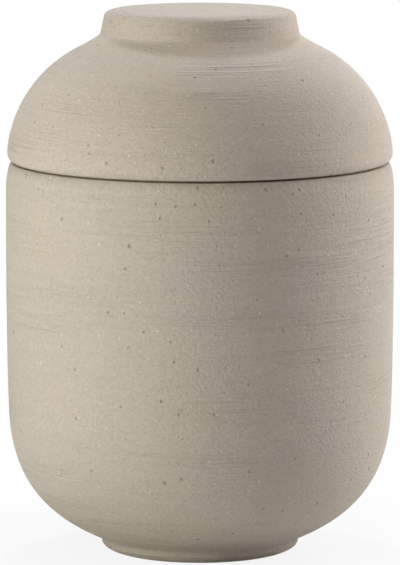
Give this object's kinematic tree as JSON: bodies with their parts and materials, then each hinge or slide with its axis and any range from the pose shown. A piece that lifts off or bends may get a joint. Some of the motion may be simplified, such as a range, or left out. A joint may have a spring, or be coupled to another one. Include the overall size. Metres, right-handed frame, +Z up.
{
  "type": "lidded jar",
  "caption": "Round unglazed stoneware storage jar on a low foot, with a full belly, straight wall and loose domed lid that has a wide, low, flat knob.",
  "frame": {"origin": "centre of the foot ring, on the surface that the jar stands on", "axes": "+Z up along the jar's axis of revolution; X and Y are equal, because both pieces are round"},
  "size_m": [0.12, 0.12, 0.1682],
  "materials": {
    "stoneware": "matte, unglazed, fine turning lines"
  },
  "bodies": {
    "jar": {"jar_body": "stoneware"},
    "lid": {"lid": "stoneware"}
  },
  "joints": [
    {"name": "lid_lift", "type": "slide", "parent": "jar", "child": "lid", "axis": [0, 0, 1], "range_m": [0, 0.1]}
  ]
}
